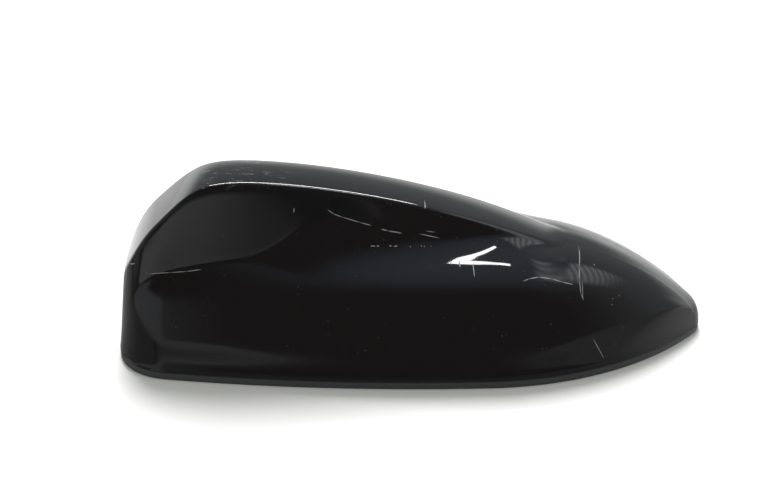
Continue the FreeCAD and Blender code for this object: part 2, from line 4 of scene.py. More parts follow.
import bpy
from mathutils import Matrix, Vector


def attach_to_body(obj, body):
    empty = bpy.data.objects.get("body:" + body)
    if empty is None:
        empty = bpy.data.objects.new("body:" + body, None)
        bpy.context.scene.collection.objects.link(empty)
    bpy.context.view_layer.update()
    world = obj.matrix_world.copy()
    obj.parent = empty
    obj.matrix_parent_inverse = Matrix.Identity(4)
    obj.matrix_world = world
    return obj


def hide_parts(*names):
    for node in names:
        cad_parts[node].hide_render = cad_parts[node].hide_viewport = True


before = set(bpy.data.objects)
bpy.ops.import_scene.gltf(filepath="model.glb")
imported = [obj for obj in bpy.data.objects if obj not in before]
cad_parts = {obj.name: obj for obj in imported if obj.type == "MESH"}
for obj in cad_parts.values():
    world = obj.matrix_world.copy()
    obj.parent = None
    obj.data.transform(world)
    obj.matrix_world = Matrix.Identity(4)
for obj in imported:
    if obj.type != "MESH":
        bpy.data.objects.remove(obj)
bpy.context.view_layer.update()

MM = 0.001

# Form of the moulded cover in millimetres and degrees: the solid's form, shaped more finely by up to 2.5 mm
COVER = SimpleNamespace(
    length=165.0, half_width=31.6, widest_x=19.4, side_radius=472.0, nose_radius=7.8, corner_radius=16.0,
    rim=2.2, wall=2.2, lip_round=0.35,
    hull_height=34.0, crest_x=18.0, crest_rear_radius=916.0, nose_rise_radius=10.5,
    side_draft=18.0, side_fullness=0.5, top_fullness=0.8, nose_fill=0.05, nose_fill_x=50.0,
    tail_round=9.0, tail_draft=5.8, tail_draft_reach=47.5,
    fin_height=53.7, ridge_top_x=-71.5, ridge_radius=272.0, ridge_half_width=7.7,
    slope_x=-60.6, slope_angle=45.0, slope_blend=8.5, flank_draft=9.0, edge_blend=1.0,
    tip_x=42.0, tip_taper=34.0, tip_half_width=2.4,
    root_rear=1.2, root_middle=7.5, root_front=5.6,
    root_start_x=-48.0, root_full_x=-24.0, root_narrow_x=-8.0, root_end_x=14.0,
    scoop_depth=1.4, scoop_x=34.5, scoop_reach=10.5, scoop_half=6.5, scoop_fade=10.0,
)

# Shares and softness that keep the fin inside the hull at the tail and the nose
FIN_SHARE = 0.62
ROOT_SHARE = 0.8
FOOT_SHARE = 0.85
ROOT_REACH = 1.5
ROOT_SOFTNESS = 1.5
HULL_TAIL_SHARE = 0.4
RISE_SHARE = 0.5
EDGE_SHARE = 0.4
TIP_SOFTNESS = 0.6
TIP_FALL = 0.4
WIDTH_SOFTNESS = 1.0

# Fineness of the cover's mesh, and where it ends at the middle of the ridge and at the nose
STATIONS = 180
ZONE_STEPS = (26, 9, 8, 14, 8)
RIDGE_MIDDLE = 0.5
HOLLOW_STEP = 6
LIP_STEPS = 3
BISECTIONS = 30
NOSE_TRIM = 0.02
SHARP_ANGLE = math.radians(40.0)


def peak_to_nose(x, peak_x, peak, nose, end):
    """Arc that is level at the peak, then a nose arc that ends upright at the end."""
    reach = end - nose - peak_x
    front = (reach ** 2 + peak ** 2 - nose ** 2) / (2 * (peak - nose))
    join = peak_x + reach / math.hypot(reach, front - peak) * front
    if x >= join:
        return math.sqrt(max(nose ** 2 - (x - end + nose) ** 2, 0.0))
    return peak - front + math.sqrt(front ** 2 - (x - peak_x) ** 2)


def half_width_at(x, s):
    """Half width of the plan outline."""
    if x >= s.widest_x:
        return peak_to_nose(x, s.widest_x, s.half_width, s.nose_radius, s.length / 2)
    side_y = s.half_width - s.side_radius
    corner_x = s.corner_radius - s.length / 2
    between = s.side_radius - s.corner_radius
    corner_y = side_y + math.sqrt(between ** 2 - (corner_x - s.widest_x) ** 2)
    join = corner_x + (corner_x - s.widest_x) / between * s.corner_radius
    if x >= join:
        return side_y + math.sqrt(s.side_radius ** 2 - (x - s.widest_x) ** 2)
    return corner_y + math.sqrt(max(s.corner_radius ** 2 - (x - corner_x) ** 2, 0.0))


def tail_drop(x, s):
    """How far the rounding of the tail's top edge lowers the form."""
    short = max(s.tail_round - (x + s.length / 2), 0.0)
    return s.tail_round - math.sqrt(max(s.tail_round ** 2 - short ** 2, 0.0))


def crest_at(x, s):
    """Height of the hull's crest over the rim."""
    peak = s.hull_height - s.rim
    if x >= s.crest_x:
        return peak_to_nose(x, s.crest_x, peak, s.nose_rise_radius, s.length / 2)
    fall = s.crest_rear_radius - math.sqrt(s.crest_rear_radius ** 2 - (x - s.crest_x) ** 2)
    return peak - fall - HULL_TAIL_SHARE * tail_drop(x, s)


def soft_min(first, second, softness):
    return (first + second - math.hypot(first - second, softness)) / 2


def soft_max(first, second, softness):
    return (first + second + math.hypot(first - second, softness)) / 2


def ridge_at(x, s):
    """Height of the long ridge arc over the floor."""
    return s.fin_height - s.ridge_radius + math.sqrt(s.ridge_radius ** 2 - (x - s.ridge_top_x) ** 2)


def fin_top_at(x, s):
    """Height of the fin's top edge over the rim: the long ridge arc, then the rear slope."""
    ridge = ridge_at(x, s)
    slope = s.fin_height + (x - s.slope_x) * math.tan(math.radians(s.slope_angle))
    return soft_min(ridge, slope, s.slope_blend) - tail_drop(x, s) - s.rim


def slope_spread_at(x, s):
    """How much wider the fin's top is where the rear slope cuts its drafted flanks."""
    return max(ridge_at(x, s) - fin_top_at(x, s) - s.rim, 0.0) * math.tan(math.radians(s.flank_draft))


def ridge_half_width_at(x, s):
    """Half width of the ridge, which narrows to the tip like a bullet."""
    share = min(max((s.tip_x - x) / s.tip_taper, 0.0), 1.0)
    return s.tip_half_width + (s.ridge_half_width - s.tip_half_width) * math.sqrt(1 - (1 - share) ** 2)


def mix(first, second, share):
    return tuple(a + (b - a) * share for a, b in zip(first, second))


def split_bezier(handles, share):
    """Handles of the first part of a Bezier curve, up to a share of it."""
    kept = []
    while handles:
        kept.append(handles[0])
        handles = [mix(a, b, share) for a, b in zip(handles[:-1], handles[1:])]
    return kept


def share_at(handles, y):
    """Share of a falling Bezier curve at which it reaches y."""
    low, high = 0.0, 1.0
    for _ in range(BISECTIONS):
        middle = (low + high) / 2
        if split_bezier(handles, middle)[-1][0] > y:
            low = middle
        else:
            high = middle
    return low


def smooth_share(value, start, end):
    share = min(max((value - start) / (end - start), 0.0), 1.0)
    return share * share * (3 - 2 * share)


def scoop_at(x, y, s):
    """How far the hull dips round the fin's tip, so that the tip stands clear."""
    along = math.exp(-((x - s.scoop_x) / s.scoop_reach) ** 2)
    return s.scoop_depth * along * smooth_share(abs(y), s.scoop_half + s.scoop_fade, s.scoop_half)


def section_zones(x, s):
    """Bezier handles (y, z over the rim) of the half section: hull, root, flank, edge and ridge."""
    width, crest = half_width_at(x, s), crest_at(x, s)
    low = s.side_fullness * crest
    lean = math.tan(math.radians(s.side_draft))
    fullness = s.top_fullness + s.nose_fill * smooth_share(x, s.nose_fill_x, s.length / 2)
    dome = [(width, 0.0), (width - low * lean, low), (fullness * width, crest), (0.0, crest)]
    top_limit = FIN_SHARE * width
    spread = slope_spread_at(x, s)
    top_y = soft_min(ridge_half_width_at(x, s) + spread, top_limit, min(WIDTH_SOFTNESS, top_limit))
    level = split_bezier(dome, share_at(dome, top_y))[-1][1]
    under = level - scoop_at(x, top_y, s)
    past_tip = TIP_FALL * max(x - s.tip_x, 0.0)
    fin = soft_max(fin_top_at(x, s) - under - past_tip, 0.0, min(TIP_SOFTNESS, crest))
    batter = soft_max(fin * math.tan(math.radians(s.flank_draft)), s.tip_half_width, WIDTH_SOFTNESS)
    root_y = min(top_y + batter, ROOT_SHARE * width)
    widening = (s.root_middle - s.root_rear) * smooth_share(x, s.root_start_x, s.root_full_x)
    narrowing = (s.root_middle - s.root_front) * smooth_share(x, s.root_narrow_x, s.root_end_x)
    limit = ROOT_REACH * fin
    root = soft_min(s.root_rear + widening - narrowing, limit, min(ROOT_SOFTNESS, limit))
    foot_y = min(root_y + root, root_y + (width - root_y) * FOOT_SHARE)
    hull = split_bezier(dome, share_at(dome, foot_y))
    before, foot = [(y, z - scoop_at(x, y, s)) for y, z in hull[-2:]]
    hull = hull[:-2] + [before, foot]
    corner = mix(before, foot, (root_y - before[0]) / (foot[0] - before[0]))
    top = (top_y, under + fin)
    apex = (0.0, top[1] + 2 * (crest - level) / (1 + spread) ** 2)
    flank = math.dist(corner, top)
    edge = min(s.edge_blend, EDGE_SHARE * top_y)
    flank_low = mix(corner, top, min(root / flank, RISE_SHARE))
    flank_high = mix(top, corner, min(edge / flank, EDGE_SHARE))
    ridge = mix(top, apex, edge / top_y)
    across = (-ridge[0], ridge[1])
    return [hull, [foot, corner, flank_low], [flank_low, flank_high], [flank_high, top, ridge],
            [ridge, apex, across]]


def half_section(x, s):
    """Points of the half section from the rim to the middle of the ridge."""
    points = []
    for zone, steps in zip(section_zones(x, s), ZONE_STEPS):
        last = RIDGE_MIDDLE if zone[0][0] == -zone[-1][0] else 1.0
        points += [split_bezier(zone, last * i / steps)[-1] for i in range(steps)]
    return points + [split_bezier(zone, last)[-1]]


def lean_forward(x, rise, s):
    """Place along X once the tail's wall leans forward as it rises."""
    share = max(1 - (x + s.length / 2) / s.tail_draft_reach, 0.0)
    return x + rise * math.tan(math.radians(s.tail_draft)) * share ** 2


def inner_form(s):
    """Sizes of the hollow: the outer form set in by the wall."""
    angle = math.radians(s.slope_angle)
    inner = SimpleNamespace(**vars(s))
    inner.length = s.length - 2 * s.wall
    for name in ("half_width", "side_radius", "nose_radius", "corner_radius", "hull_height",
                 "nose_rise_radius", "tail_round", "fin_height", "ridge_half_width"):
        setattr(inner, name, getattr(s, name) - s.wall)
    inner.slope_x = s.slope_x + s.wall * (1 / math.cos(angle) - 1) / math.tan(angle)
    inner.tip_x = s.tip_x - 2 * s.wall
    return inner


def station_row(share, s, step=1):
    """Points across the skin at one station, from the -Y rim over the top to the +Y rim."""
    x = min(-s.length / 2 * math.cos(math.pi * share), s.length / 2 - NOSE_TRIM)
    points = half_section(x, s)
    kept = points[:-1:step] + points[-1:]
    near = [(lean_forward(x, z, s), -y, z + s.rim) for y, z in kept]
    return near + [(x, -y, z) for x, y, z in reversed(near[:-1])]


def rounded_lip(row, s):
    """The same row with its two lower corners broken by a small round."""
    def corner(point):
        x, y, z = point
        inward = -math.copysign(min(s.lip_round, abs(y) / 2), y)
        angles = [math.pi / 2 * i / LIP_STEPS for i in range(LIP_STEPS + 1)]
        return [(x, y + inward * (1 - math.sin(a)), z + s.lip_round * (1 - math.cos(a))) for a in angles]
    return corner(row[0]) + row[1:-1] + corner(row[-1])[::-1]


def mesh_object(name, verts, faces):
    mesh = bpy.data.meshes.new(name)
    mesh.from_pydata([Vector(v) * MM for v in verts], [], faces)
    mesh.validate()
    mesh.update()
    mesh.shade_smooth()
    mesh.set_sharp_from_angle(angle=SHARP_ANGLE)
    piece = bpy.data.objects.new(name, mesh)
    bpy.context.scene.collection.objects.link(piece)
    return piece


def end_cap(ring, flipped):
    """Quads that close a row of points from both of its ends towards its middle."""
    faces = []
    low, high = 0, len(ring) - 1
    while high - low > 1:
        corners = [ring[low], ring[low + 1], ring[high - 1], ring[high]]
        corners = corners[:2] + corners[3:] if high - low == 2 else corners
        faces.append(corners[::-1] if flipped else corners)
        low, high = low + 1, high - 1
    return faces


def cover_shell():
    """Closed shell of the cover: outer skin, rounded lip, hollow inside."""
    hollow_form = inner_form(COVER)
    verts, faces, rings = [], [], []
    for i in range(STATIONS + 1):
        outer = rounded_lip(station_row(i / STATIONS, COVER), COVER)
        hollow = station_row(i / STATIONS, hollow_form, HOLLOW_STEP)
        ring = outer + hollow[::-1]
        rings.append(list(range(len(verts), len(verts) + len(ring))))
        verts += ring
    count = len(outer)
    total = len(rings[0])
    for first, second in zip(rings[:-1], rings[1:]):
        for j in range(total):
            k = (j + 1) % total
            faces.append((first[j], second[j], second[k], first[k]))
    for ring, at_nose in ((rings[0], False), (rings[-1], True)):
        faces += end_cap(ring[:count], at_nose)
        faces += end_cap(ring[count:], at_nose)
        sill = [ring[0], ring[count - 1], ring[count], ring[-1]]
        faces.append(sill[::-1] if at_nose else sill)
    return mesh_object("moulded_cover", verts, faces)


# Rubber foot in millimetres: the opening for the base plate, and the rounded lip as (inset, height) points
FOOT = SimpleNamespace(
    middle_x=-7.0, opening_rear=-63.0, opening_front=49.0, opening_half=17.0, opening_radius=6.0,
    lip=((0.5, 0.0), (0.15, 0.12), (0.0, 0.4), (0.0, 1.55), (0.12, 1.9), (0.45, 2.1), (0.8, 2.2)),
    turns=360,
)


def reach_inside(inside, way):
    """Distance from the foot's middle to the edge of a form, along a direction."""
    low, high = 0.0, COVER.length
    for _ in range(BISECTIONS):
        middle = (low + high) / 2
        if inside(FOOT.middle_x + way[0] * middle, way[1] * middle):
            low = middle
        else:
            high = middle
    return low


def in_outline(x, y):
    return abs(x) < COVER.length / 2 and abs(y) < half_width_at(x, COVER)


def in_opening(x, y):
    corner = FOOT.opening_radius
    over_x = max(FOOT.opening_rear + corner - x, x - FOOT.opening_front + corner, 0.0)
    over_y = max(abs(y) - FOOT.opening_half + corner, 0.0)
    return math.hypot(over_x, over_y) < corner


def rubber_foot():
    """Closed ring with the rounded lip outside and the opening inside."""
    verts, faces = [], []
    rows = len(FOOT.lip) + 2
    for i in range(FOOT.turns):
        angle = 2 * math.pi * i / FOOT.turns
        way = (math.cos(angle), math.sin(angle))
        outer = reach_inside(in_outline, way)
        inner = reach_inside(in_opening, way)
        profile = [(outer - inset, z) for inset, z in FOOT.lip] + [(inner, COVER.rim), (inner, 0.0)]
        verts += [(FOOT.middle_x + way[0] * r, way[1] * r, z) for r, z in profile]
    for i in range(FOOT.turns):
        after = (i + 1) % FOOT.turns
        for j in range(rows):
            k = (j + 1) % rows
            faces.append((i * rows + j, after * rows + j, after * rows + k, i * rows + k))
    return mesh_object("rubber_foot", verts, faces)


cover = cover_shell()
foot = rubber_foot()
for piece, node, slot in ((cover, "cover", "gloss_cover"), (foot, "seal", "foot_rubber")):
    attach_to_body(piece, "root")
    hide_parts(node)


# Camera at the photograph's viewing angle
PHOTO_WIDTH = 768
SENSOR_MM = 36.0
FOCAL_PIXELS = 1611.9
VIEW_AZIMUTH = math.radians(-2.5)
VIEW_ELEVATION = math.radians(28.0)
VIEW_DISTANCE = 0.450
VIEW_TARGET = Vector((-0.0082, 0.0, 0.0278))
CLIP_START = 0.01


def add_camera():
    back = Vector((math.sin(VIEW_AZIMUTH) * math.cos(VIEW_ELEVATION),
                   -math.cos(VIEW_AZIMUTH) * math.cos(VIEW_ELEVATION), math.sin(VIEW_ELEVATION)))
    lens = bpy.data.cameras.new("camera")
    lens.sensor_width = SENSOR_MM
    lens.lens = FOCAL_PIXELS * SENSOR_MM / PHOTO_WIDTH
    lens.clip_start = CLIP_START
    camera = bpy.data.objects.new("camera", lens)
    camera.location = VIEW_TARGET + back * VIEW_DISTANCE
    camera.rotation_euler = back.to_track_quat("Z", "Y").to_euler()
    bpy.context.scene.collection.objects.link(camera)
    bpy.context.scene.camera = camera


add_camera()


# Shader node helpers
def feed(tree, socket, value):
    """Link a socket to another one, or set its own value."""
    if isinstance(value, bpy.types.NodeSocket):
        tree.links.new(value, socket)
    else:
        socket.default_value = value


def add_node(tree, kind, values=None, **settings):
    """New node with its settings; sockets among the values are linked, the rest are set."""
    node = tree.nodes.new(kind)
    for name, value in settings.items():
        setattr(node, name, value)
    for key, value in (values or {}).items():
        feed(tree, node.inputs[key], value)
    return node


def calc(tree, operation, *values):
    return add_node(tree, "ShaderNodeMath", dict(enumerate(values)), operation=operation).outputs[0]


def vector_calc(tree, operation, output, *values):
    node = add_node(tree, "ShaderNodeVectorMath", dict(enumerate(values)), operation=operation)
    return node.outputs[output]


def all_of(tree, mask, *others):
    """Product of several masks."""
    for other in others:
        mask = calc(tree, "MULTIPLY", mask, other)
    return mask


def span(tree, value, start, end, low=0.0, high=1.0):
    """Smooth step of a value from one limit to another."""
    values = {"Value": value, "From Min": start, "From Max": end, "To Min": low, "To Max": high}
    return add_node(tree, "ShaderNodeMapRange", values, interpolation_type="SMOOTHSTEP").outputs["Result"]


def blend(tree, share, first, second):
    """Mix of two colours."""
    node = add_node(tree, "ShaderNodeMix", {"Factor": share}, data_type="RGBA")
    for key, colour in (("A", first), ("B", second)):
        socket = [s for s in node.inputs if s.name == key and s.type == "RGBA"][0]
        feed(tree, socket, (*colour, 1.0) if isinstance(colour, tuple) else colour)
    return [s for s in node.outputs if s.type == "RGBA"][0]


def object_place(tree):
    return add_node(tree, "ShaderNodeTexCoord").outputs["Object"]


def separate(tree, vector):
    """X, Y and Z of a vector."""
    parts = add_node(tree, "ShaderNodeSeparateXYZ", {0: vector}).outputs
    return parts["X"], parts["Y"], parts["Z"]


def noise_at(tree, place, scale, detail, roughness):
    values = {"Vector": place, "Scale": scale, "Detail": detail, "Roughness": roughness}
    return add_node(tree, "ShaderNodeTexNoise", values).outputs["Fac"]


def new_group(name, inputs, outputs):
    """Empty node group with its sockets; inputs are (name, default) and outputs are (name, kind)."""
    tree = bpy.data.node_groups.new(name, "ShaderNodeTree")
    for label, default in inputs:
        kind = "NodeSocketFloat" if isinstance(default, float) else "NodeSocketVector"
        tree.interface.new_socket(name=label, in_out="INPUT", socket_type=kind).default_value = default
    for label, kind in outputs:
        tree.interface.new_socket(name=label, in_out="OUTPUT", socket_type=kind)
    return tree, tree.nodes.new("NodeGroupInput").outputs, tree.nodes.new("NodeGroupOutput").inputs


def use_group(tree, group, **values):
    node = tree.nodes.new("ShaderNodeGroup")
    node.node_tree = group
    for key, value in values.items():
        feed(tree, node.inputs[key.capitalize()], value)
    return node.outputs


def make_grain():
    """Fine uneven surface: a mask and a bumped normal."""
    tree, given, result = new_group("surface_grain", [("Scale", 1.0), ("Depth", 1.0)],
                                    [("Mask", "NodeSocketFloat"), ("Normal", "NodeSocketVector")])
    noise = noise_at(tree, object_place(tree), given["Scale"], detail=1.0, roughness=0.5)
    bump = add_node(tree, "ShaderNodeBump", {"Height": noise, "Distance": given["Depth"], "Strength": 1.0})
    tree.links.new(noise, result["Mask"])
    tree.links.new(bump.outputs["Normal"], result["Normal"])
    return tree


def make_dust():
    """Tiny specks of different sizes, as a mask."""
    tree, given, result = new_group("dust_specks", [("Scale", 1.0), ("Size", 1.0), ("Share", 1.0)],
                                    [("Mask", "NodeSocketFloat")])
    cells = add_node(tree, "ShaderNodeTexVoronoi", {"Vector": object_place(tree), "Scale": given["Scale"]})
    chance = add_node(tree, "ShaderNodeSeparateColor", {0: cells.outputs["Color"]}).outputs
    kept = calc(tree, "LESS_THAN", chance["Red"], given["Share"])
    size = calc(tree, "MULTIPLY", chance["Green"], given["Size"])
    dot = calc(tree, "LESS_THAN", cells.outputs["Distance"], size)
    tree.links.new(calc(tree, "MULTIPLY", kept, dot), result["Mask"])
    return tree


SMUDGE_EDGE = (0.45, 0.75)


def make_smudge():
    """Broad, soft patches of handling, as a mask."""
    tree, given, result = new_group("handling_smudge", [("Scale", 1.0)], [("Mask", "NodeSocketFloat")])
    noise = noise_at(tree, object_place(tree), given["Scale"], detail=2.0, roughness=0.6)
    tree.links.new(span(tree, noise, *SMUDGE_EDGE), result["Mask"])
    return tree


def make_stroke():
    """Distance from the middle of a thin ellipse: below one is inside the stroke, which draws scratches and
    painted highlight lines.
    """
    inputs = [("Middle", (0.0, 0.0, 0.0)), ("Turn", (0.0, 0.0, 0.0)), ("Reach", (1.0, 1.0, 1.0))]
    tree, given, result = new_group("scratch_and_highlight_stroke", inputs, [("Distance", "NodeSocketFloat")])
    values = {"Vector": object_place(tree), "Location": given["Middle"], "Rotation": given["Turn"],
              "Scale": given["Reach"]}
    turned = add_node(tree, "ShaderNodeMapping", values, vector_type="TEXTURE").outputs["Vector"]
    tree.links.new(vector_calc(tree, "LENGTH", "Value", turned), result["Distance"])
    return tree


GRAIN = make_grain()
DUST = make_dust()
SMUDGE = make_smudge()
STROKE = make_stroke()


def new_material(name):
    material = bpy.data.materials.new(name)
    material.use_nodes = True
    tree = material.node_tree
    return material, tree, tree.nodes["Principled BSDF"]


def attach(tree, shader, **sources):
    """Link or set sockets of a shader, named with underscores for spaces."""
    for key, value in sources.items():
        feed(tree, shader.inputs[key.replace("_", " ")], value)


# Scratches on the near side, and in the last two rows painted highlights, thin light lines along the fin's
# rear root crease: width, then the places (x, z) that each runs through, in millimetres
SCRATCHES_AND_HIGHLIGHTS = (
    (0.12, (-23.7, 43.7), (-22.1, 42.5), (-19.9, 41.6), (-15.1, 40.0), (-12.1, 39.1)),
    (0.16, (-9.4, 38.1), (-7.6, 37.6), (-3.8, 36.9)),
    (0.13, (1.1, 36.5), (6.3, 35.3)),
    (0.10, (2.8, 37.1), (5.2, 36.7)),
    (0.16, (-12.3, 34.2), (-11.7, 34.3), (-11.1, 34.1)),
    (0.16, (-10.7, 34.2), (-10.0, 34.2)),
    (0.18, (-7.3, 34.1), (-6.7, 34.2)),
    (0.16, (-6.1, 34.0), (-5.1, 34.1)),
    (0.18, (-1.7, 33.7), (-1.5, 33.9)),
    (0.18, (1.3, 33.8), (1.5, 33.9)),
    (0.16, (2.1, 33.8), (2.3, 33.6)),
    (0.16, (4.0, 33.7), (4.2, 33.7)),
    (0.18, (2.6, 42.9), (2.7, 43.6)),
    (0.18, (9.1, 30.7), (9.3, 30.7)),
    (0.18, (11.4, 30.9), (11.6, 29.9)),
    (0.16, (15.1, 30.5), (15.3, 28.1)),
    (0.11, (28.5, 26.8), (30.1, 27.1), (32.9, 27.1), (36.5, 26.3), (39.2, 25.4), (42.3, 24.5)),
    (0.15, (45.6, 28.9), (44.6, 27.1), (44.2, 25.0), (44.4, 22.3), (45.1, 20.8)),
    (0.10, (45.0, 24.9), (44.9, 21.0)),
    (0.10, (47.8, 10.5), (51.0, 4.6)),
    (0.18, (53.2, 18.0), (53.4, 18.0)),
    (0.16, (53.6, 19.2), (53.6, 19.4)),
    (0.18, (55.5, 19.5), (55.7, 19.5)),
    (0.16, (49.0, 26.5), (49.2, 26.5)),
    (0.14, (-32.8, 44.5), (-32.9, 43.2)),
    # Painted highlight: thin light lines along the fin's rear root crease, where lamp light glints, drawn
    # like scratches
    (0.10, (-72.3, 27.1), (-66.7, 27.3), (-62.4, 27.6), (-58.4, 28.1)),
    (0.16, (-77.9, 28.9), (-76.3, 29.8)),
)

# How each stroke of the scratches and painted highlights is drawn: reach as a share of its length, way
# through the cover, soft edge and start of search
STROKE_REACH = 0.6
STROKE_THROUGH = 1.0
STROKE_EDGE = (1.0, 0.6)
STROKE_FAR = 2.0

# Gloss finish of the cover, with how much each mark changes its colour and roughness
GLOSS = SimpleNamespace(
    black=(0.0052, 0.0045, 0.0050), ior=1.5, roughness=0.045,
    wave_scale=26.0, wave_depth=0.00006,
    smudge_scale=45.0, smudge_rough=0.05,
    dust_scale=900.0, dust_size=0.18, dust_share=0.16, dust_mix=0.45,
    scuff_colour=(0.16, 0.165, 0.17), scuff_mix=0.5, scuff_rough=0.2,
    # Pale grey of the scratches, which also paints the highlight lines along the rear root crease
    scratch_and_highlight_colour=(0.30, 0.30, 0.31), scratch_and_highlight_mix=0.85, scratch_and_highlight_rough=0.35,
)
DUST_COLOUR = (0.09, 0.09, 0.09)

# Rubbed patch on the rear top of the fin, in metres
SCUFF = SimpleNamespace(
    stretch=(0.35, 1.0, 1.0), scale=900.0, detail=3.0, roughness=0.7,
    top_z=(0.0495, 0.0508), rear_x=(-0.026, -0.040), edge=(0.56, 0.72),
)


def ridge_scuff(tree):
    """Hazy rubbed patch on the rear top of the fin, as a mask."""
    place = object_place(tree)
    x, _, z = separate(tree, place)
    stretched = vector_calc(tree, "MULTIPLY", "Vector", place, SCUFF.stretch)
    noise = noise_at(tree, stretched, SCUFF.scale, SCUFF.detail, SCUFF.roughness)
    rear_top = all_of(tree, span(tree, z, *SCUFF.top_z), span(tree, x, *SCUFF.rear_x))
    return all_of(tree, rear_top, span(tree, noise, *SCUFF.edge))


def scratch_and_highlight_mask(tree):
    """All scratches of the near side and the painted highlight lines along the rear root crease, as a mask.
    """
    nearest = STROKE_FAR
    for width, *places in SCRATCHES_AND_HIGHLIGHTS:
        for (x0, z0), (x1, z1) in zip(places[:-1], places[1:]):
            middle = ((x0 + x1) / 2 * MM, 0.0, (z0 + z1) / 2 * MM)
            turn = (0.0, math.atan2(z0 - z1, x1 - x0), 0.0)
            reach = (math.hypot(x1 - x0, z1 - z0) * STROKE_REACH * MM, STROKE_THROUGH, width * MM)
            away = use_group(tree, STROKE, middle=middle, turn=turn, reach=reach)
            nearest = calc(tree, "MINIMUM", nearest, away["Distance"])
    _, y, _ = separate(tree, object_place(tree))
    return all_of(tree, span(tree, nearest, *STROKE_EDGE), calc(tree, "LESS_THAN", y, 0.0))


def gloss_cover():
    material, tree, shader = new_material("gloss_black_cover")
    scratch_and_highlight = scratch_and_highlight_mask(tree)
    scuff = ridge_scuff(tree)
    dust = use_group(tree, DUST, scale=GLOSS.dust_scale, size=GLOSS.dust_size, share=GLOSS.dust_share)["Mask"]
    smudge = use_group(tree, SMUDGE, scale=GLOSS.smudge_scale)["Mask"]
    wave = use_group(tree, GRAIN, scale=GLOSS.wave_scale, depth=GLOSS.wave_depth)
    colour = GLOSS.black
    # The last mask paints the pale scratches and the painted highlight lines along the rear root crease
    for mask, amount, tone in ((dust, GLOSS.dust_mix, DUST_COLOUR),
                               (scuff, GLOSS.scuff_mix, GLOSS.scuff_colour),
                               (scratch_and_highlight, GLOSS.scratch_and_highlight_mix, GLOSS.scratch_and_highlight_colour)):
        colour = blend(tree, calc(tree, "MULTIPLY", mask, amount), colour, tone)
    rough = GLOSS.roughness
    for mask, amount in ((smudge, GLOSS.smudge_rough), (scuff, GLOSS.scuff_rough),
                         (scratch_and_highlight, GLOSS.scratch_and_highlight_rough)):
        rough = calc(tree, "MULTIPLY_ADD", mask, amount, rough)
    attach(tree, shader, Base_Color=colour, Roughness=rough, Normal=wave["Normal"], IOR=GLOSS.ior)
    return material


# Smudges and dust of the plainer finishes
HANDLED = SimpleNamespace(
    smudge_scale=70.0, smudge_rough=0.12, dust_scale=500.0, dust_size=0.2, dust_share=0.1, dust_mix=0.3,
)


def grained(name, colour, second, roughness, metallic=0.0, scale=600.0, depth=0.00002):
    """Finish of two close tones with a fine grain, soft smudges and specks of dust."""
    material, tree, shader = new_material(name)
    grain = use_group(tree, GRAIN, scale=scale, depth=depth)
    smudge = use_group(tree, SMUDGE, scale=HANDLED.smudge_scale)["Mask"]
    dust = use_group(tree, DUST, scale=HANDLED.dust_scale, size=HANDLED.dust_size, share=HANDLED.dust_share)
    tone = blend(tree, grain["Mask"], colour, second)
    tone = blend(tree, calc(tree, "MULTIPLY", dust["Mask"], HANDLED.dust_mix), tone, DUST_COLOUR)
    rough = calc(tree, "MULTIPLY_ADD", smudge, HANDLED.smudge_rough, roughness)
    attach(tree, shader, Base_Color=tone, Metallic=metallic, Normal=grain["Normal"], Roughness=rough)
    return material


# Green lacquer of the boards, and the tracks that show through it
LACQUER = SimpleNamespace(
    dark=(0.015, 0.09, 0.045), light=(0.03, 0.14, 0.07), track=(0.05, 0.22, 0.10), roughness=0.35,
    track_scale=220.0, track_width=0.03, grain_scale=900.0, grain_depth=0.00001,
)
MASK_OFF = (0.0, 0.0, 0.0, 1.0)
MASK_ON = (1.0, 1.0, 1.0, 1.0)


def laminate():
    """Green lacquered board with fine tracks under the lacquer."""
    material, tree, shader = new_material("board_laminate")
    values = {"Vector": object_place(tree), "Scale": LACQUER.track_scale, "Mortar Size": LACQUER.track_width,
              "Color1": MASK_OFF, "Color2": MASK_OFF, "Mortar": MASK_ON}
    tracks = add_node(tree, "ShaderNodeTexBrick", values).outputs["Color"]
    grain = use_group(tree, GRAIN, scale=LACQUER.grain_scale, depth=LACQUER.grain_depth)
    tone = blend(tree, grain["Mask"], LACQUER.dark, LACQUER.light)
    tone = blend(tree, tracks, tone, LACQUER.track)
    attach(tree, shader, Base_Color=tone, Roughness=LACQUER.roughness, Normal=grain["Normal"])
    return material


